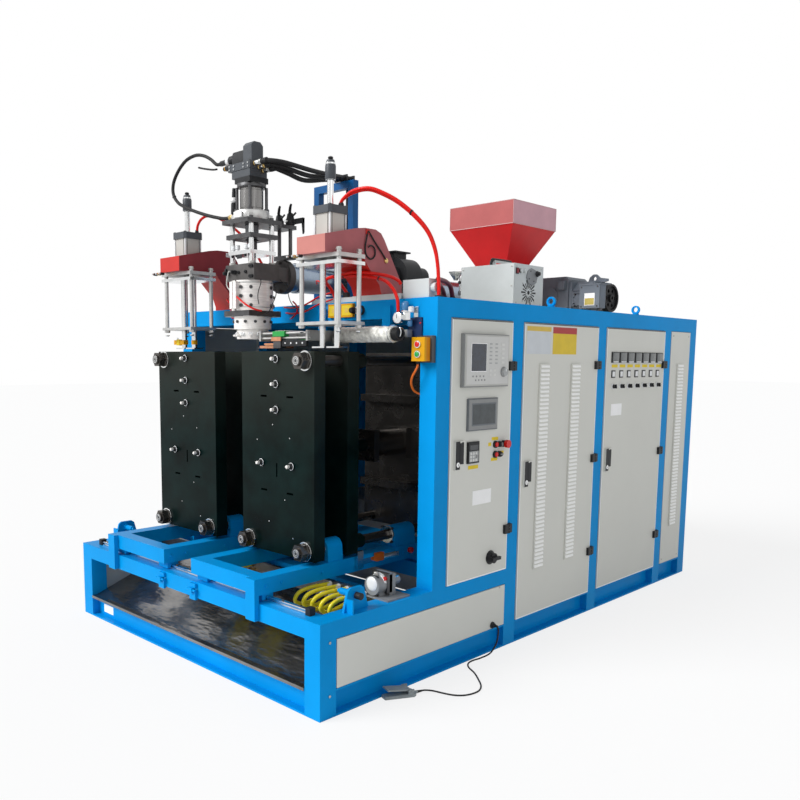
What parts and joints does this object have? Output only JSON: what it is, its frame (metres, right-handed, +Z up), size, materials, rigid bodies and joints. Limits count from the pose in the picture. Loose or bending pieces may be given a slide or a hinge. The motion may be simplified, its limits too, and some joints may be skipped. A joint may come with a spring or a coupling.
{
  "type": "blow moulding machine",
  "caption": "Double-station extrusion blow moulding machine: tall cabinet, low base with shuttling mould clamps, die head, blow pins on arms, extruder with hopper on the roof",
  "frame": {"origin": "on the floor, at the middle of the frame's width and of the base's length", "axes": "+X to the right seen from the operator's front, +Y from the front to the back, +Z up"},
  "size_m": [2.3305, 3.572, 2.581],
  "materials": {
    "blue_paint": "gloss",
    "grey_paint": "satin",
    "light_paint": "satin",
    "dark_paint": "satin",
    "red_paint": "gloss",
    "pedal_paint": "satin",
    "platen_black": "gloss",
    "barrel_cover": "satin",
    "stainless": "brushed",
    "zinc_plate": "matte",
    "grey_metal": "satin",
    "bright_steel": "polished",
    "machined_steel": "machined",
    "black_steel": "satin",
    "cylinder_alloy": "anodised",
    "foil_wrap": "crinkled",
    "copper_plate": "satin",
    "dark_plastic": "matte",
    "panel_plastic": "matte",
    "yellow_plastic": "gloss",
    "red_plastic": "gloss",
    "hose_rubber": "satin",
    "cable_rubber": "matte"
  },
  "bodies": {
    "machine": {"base_frame": "blue_paint", "body_frame": "blue_paint", "fixed_panels": "grey_paint", "product_chute": "stainless", "electrics_plate": "zinc_plate", "hydraulic_unit": "grey_metal", "shuttle_rails": "bright_steel", "travel_stops": "blue_paint", "shuttle_drive": "grey_metal", "head_block": "black_steel", "head_body": "machined_steel", "die_ring": "machined_steel", "head_yoke": "black_steel", "programming_cylinder": "grey_metal", "servo_valve": "dark_plastic", "extruder_barrel": "barrel_cover", "barrel_stand": "blue_paint", "cooling_blower": "dark_plastic", "gearbox": "dark_paint", "hopper": "red_paint", "drive_motor": "dark_paint", "blow_arms": "red_paint", "blow_cylinders": "cylinder_alloy", "blow_guides": "bright_steel", "cutter_guide": "machined_steel", "cutter_drive": "foil_wrap", "air_preparation": "yellow_plastic", "button_box": "yellow_plastic", "supply_box": "light_paint", "valve_box": "light_paint", "hoses": "hose_rubber", "lifting_eyes": "blue_paint", "door_hinges": "black_steel", "pedal_cable": "cable_rubber", "pedal_base": "pedal_paint"},
    "left_carriage": {"carriage_left": "blue_paint"},
    "right_carriage": {"carriage_right": "blue_paint"},
    "left_clamp": {"front_platen_left": "platen_black", "tie_bars_left": "bright_steel"},
    "right_clamp": {"front_platen_right": "platen_black", "tie_bars_right": "bright_steel"},
    "left_mould_plate": {"middle_platen_left": "platen_black"},
    "right_mould_plate": {"middle_platen_right": "platen_black"},
    "left_blow_unit": {"blow_pins_left": "bright_steel"},
    "right_blow_unit": {"blow_pins_right": "bright_steel"},
    "cutter": {"cutter_head": "copper_plate"},
    "fan": {"motor_fan": "dark_plastic"},
    "core_rod": {"programming_rod": "bright_steel"},
    "front_door": {"door_front": "grey_paint", "operator_panel": "panel_plastic"},
    "middle_door": {"door_middle": "grey_paint"},
    "rear_door": {"door_rear": "grey_paint", "zone_controls": "dark_plastic"},
    "isolator": {"isolator_knob": "dark_plastic"},
    "emergency_stop": {"stop_button": "red_plastic"},
    "front_latch": {"handle_front": "black_steel"},
    "middle_latch": {"handle_middle": "black_steel"},
    "rear_latch": {"handle_rear": "black_steel"},
    "foot_switch": {"pedal_plate": "pedal_paint"}
  },
  "joints": [
    {"name": "left_shuttle", "type": "slide", "parent": "machine", "child": "left_carriage", "axis": [1, 0, 0], "range_m": [-0.172, 0.411]},
    {"name": "right_shuttle", "type": "slide", "parent": "machine", "child": "right_carriage", "axis": [1, 0, 0], "range_m": [-0.0912, 0.218]},
    {"name": "left_clamp_travel", "type": "slide", "parent": "left_carriage", "child": "left_clamp", "axis": [0, 1, 0], "range_m": [-0.13, 0.015]},
    {"name": "left_plate_travel", "type": "slide", "parent": "left_carriage", "child": "left_mould_plate", "axis": [0, 1, 0], "range_m": [-0.015, 0.13]},
    {"name": "right_clamp_travel", "type": "slide", "parent": "right_carriage", "child": "right_clamp", "axis": [0, 1, 0], "range_m": [-0.13, 0.015]},
    {"name": "right_plate_travel", "type": "slide", "parent": "right_carriage", "child": "right_mould_plate", "axis": [0, 1, 0], "range_m": [-0.015, 0.13]},
    {"name": "left_blow_stroke", "type": "slide", "parent": "machine", "child": "left_blow_unit", "axis": [0, 0, 1], "range_m": [-0.03, 0]},
    {"name": "right_blow_stroke", "type": "slide", "parent": "machine", "child": "right_blow_unit", "axis": [0, 0, 1], "range_m": [-0.03, 0]},
    {"name": "cutter_stroke", "type": "slide", "parent": "machine", "child": "cutter", "axis": [1, 0, 0], "range_m": [-0.09, 0.15]},
    {"name": "fan_spin", "type": "hinge", "parent": "machine", "child": "fan", "pos_m": [0.6, 1.349, 1.925], "axis": [1, 0, 0], "continuous": true},
    {"name": "core_travel", "type": "slide", "parent": "machine", "child": "core_rod", "axis": [0, 0, 1], "range_m": [-0.02, 0.02]},
    {"name": "front_door_hinge", "type": "hinge", "parent": "machine", "child": "front_door", "pos_m": [1.0395, -0.4605, 0.9], "axis": [0, 0, 1], "range_deg": [0, 105]},
    {"name": "middle_door_hinge", "type": "hinge", "parent": "machine", "child": "middle_door", "pos_m": [1.0395, 0.4055, 0.9], "axis": [0, 0, 1], "range_deg": [0, 105]},
    {"name": "rear_door_hinge", "type": "hinge", "parent": "machine", "child": "rear_door", "pos_m": [1.0395, 1.2775, 0.9], "axis": [0, 0, 1], "range_deg": [0, 105]},
    {"name": "isolator_turn", "type": "hinge", "parent": "front_door", "child": "isolator", "pos_m": [1.061, -0.606, 0.506], "axis": [1, 0, 0], "range_deg": [-90, 0]},
    {"name": "stop_press", "type": "slide", "parent": "front_door", "child": "emergency_stop", "axis": [1, 0, 0], "range_m": [-0.006, 0], "stiffness_N_per_m": 300},
    {"name": "front_latch_pull", "type": "hinge", "parent": "front_door", "child": "front_latch", "pos_m": [1.0385, -0.875, 1.1035], "axis": [0, -1, 0], "range_deg": [0, 35]},
    {"name": "middle_latch_pull", "type": "hinge", "parent": "middle_door", "child": "middle_latch", "pos_m": [1.0385, -0.286, 0.9595], "axis": [0, -1, 0], "range_deg": [0, 35]},
    {"name": "rear_latch_pull", "type": "hinge", "parent": "rear_door", "child": "rear_latch", "pos_m": [1.0385, 0.58, 0.9635], "axis": [0, -1, 0], "range_deg": [0, 35]},
    {"name": "foot_switch_press", "type": "hinge", "parent": "machine", "child": "foot_switch", "pos_m": [1.08605, -1.28965, 0.027], "axis": [0.9397, -0.342, 0], "range_deg": [0, 9], "stiffness_Nm_per_rad": 6}
  ],
  "couplings": [
    {"joint": "right_shuttle", "follows": "left_shuttle", "ratio": 0.53},
    {"joint": "left_plate_travel", "follows": "left_clamp_travel", "ratio": -1},
    {"joint": "right_plate_travel", "follows": "right_clamp_travel", "ratio": -1}
  ]
}
